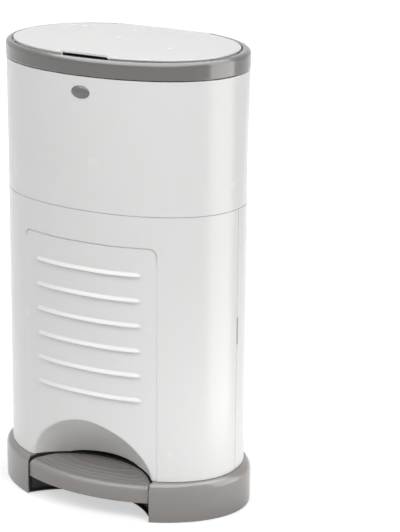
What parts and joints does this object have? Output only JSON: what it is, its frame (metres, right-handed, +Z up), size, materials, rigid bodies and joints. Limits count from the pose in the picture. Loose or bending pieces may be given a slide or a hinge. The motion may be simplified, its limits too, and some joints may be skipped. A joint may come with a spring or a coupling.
{
  "type": "nappy bin",
  "caption": "Oval pedal nappy bin with a sprung release button, lidded top frame with liner refill, trap flaps and a ribbed emptying door.",
  "frame": {"origin": "centre of the footprint on the floor", "axes": "+Z up, -Y towards the front with the pedal, +X to the right of someone in front of the bin facing it, the right of the picture"},
  "size_m": [0.408, 0.274, 0.7008],
  "materials": {
    "white_plastic": "satin gloss, smooth moulded",
    "grey_plastic": "satin, warm grey, smooth moulded",
    "dark_plastic": "matt moulded",
    "refill_plastic": "matt moulded",
    "rubber": "matt",
    "steel": "drawn wire and cold formed"
  },
  "bodies": {
    "root": {"base_skirt": "grey_plastic", "pedal_well_liner": "dark_plastic", "axle_bearing_left": "grey_plastic", "axle_bearing_right": "grey_plastic", "pedal_axle": "steel", "pedal_spring": "steel", "rubber_foot_front_left": "rubber", "rubber_foot_front_right": "rubber", "rubber_foot_back_left": "rubber", "rubber_foot_back_right": "rubber", "rear_shell": "white_plastic", "upper_shell": "white_plastic", "frame_hinge_pin_left": "steel", "frame_hinge_pin_right": "steel", "door_frame": "white_plastic", "post_screw_left": "steel", "post_screw_right": "steel", "door_hinge_pin_lower": "steel", "door_hinge_pin_upper": "steel", "door_strike": "steel", "rod_guide_lower": "dark_plastic", "rod_guide_upper": "dark_plastic", "refill_shelf": "white_plastic", "refill_ring": "refill_plastic", "button_housing": "dark_plastic", "button_spring": "steel"},
    "front_door": {"front_door": "white_plastic", "door_catch": "steel", "cutter_housing": "dark_plastic", "cutter_blade": "steel"},
    "top_frame": {"rim": "grey_plastic", "hopper": "white_plastic", "frame_catch": "dark_plastic", "hopper_screw_back_right": "steel", "hopper_screw_back_left": "steel", "hopper_screw_front_left": "steel", "hopper_screw_front_right": "steel", "flap_pin_left": "steel", "flap_pin_right": "steel", "flap_spring_left": "steel", "flap_spring_right": "steel", "lid_hinge_pin_left": "steel", "lid_hinge_pin_right": "steel"},
    "lid": {"lid": "white_plastic", "lid_seal": "rubber"},
    "trap_left": {"trap_flap_left": "white_plastic"},
    "trap_right": {"trap_flap_right": "white_plastic"},
    "pedal": {"pedal": "grey_plastic", "pedal_lever": "dark_plastic"},
    "push_rod": {"push_rod": "steel", "rod_foot": "dark_plastic", "rod_tip": "dark_plastic"},
    "release_button": {"release_button": "grey_plastic"}
  },
  "joints": [
    {"name": "pedal_press", "type": "hinge", "parent": "root", "child": "pedal", "pos_m": [0, -0.014, 0.03], "axis": [1, 0, 0], "range_deg": [0, 9.23], "stiffness_Nm_per_rad": 2, "springref_deg": -11.46},
    {"name": "rod_lift", "type": "slide", "parent": "root", "child": "push_rod", "axis": [0, 0, 1], "range_m": [0, 0.0193]},
    {"name": "top_frame_open", "type": "hinge", "parent": "root", "child": "top_frame", "pos_m": [0, 0.135, 0.6678], "axis": [-1, 0, 0], "range_deg": [0, 90]},
    {"name": "lid_open", "type": "hinge", "parent": "top_frame", "child": "lid", "pos_m": [0, 0.119, 0.69], "axis": [-1, 0, 0], "range_deg": [0, 80]},
    {"name": "trap_left_drop", "type": "hinge", "parent": "top_frame", "child": "trap_left", "pos_m": [-0.0755, -0.003, 0.5948], "axis": [0, 1, 0], "range_deg": [0, 80], "stiffness_Nm_per_rad": 0.02, "springref_deg": -57.3},
    {"name": "trap_right_drop", "type": "hinge", "parent": "top_frame", "child": "trap_right", "pos_m": [0.0755, -0.003, 0.5948], "axis": [0, -1, 0], "range_deg": [0, 80], "stiffness_Nm_per_rad": 0.02, "springref_deg": -57.3},
    {"name": "button_press", "type": "slide", "parent": "root", "child": "release_button", "axis": [0, 1, 0], "range_m": [0, 0.004], "stiffness_N_per_m": 300, "springref_m": -0.002, "deforming": ["button_spring"]},
    {"name": "front_door_swing", "type": "hinge", "parent": "root", "child": "front_door", "pos_m": [-0.1845, -0.0105, 0.266], "axis": [0, 0, -1], "range_deg": [0, 90]}
  ],
  "couplings": [
    {"joint": "rod_lift", "follows": "pedal_press", "m_per_rad": 0.1198},
    {"joint": "lid_open", "follows": "pedal_press", "ratio": 8.66}
  ]
}
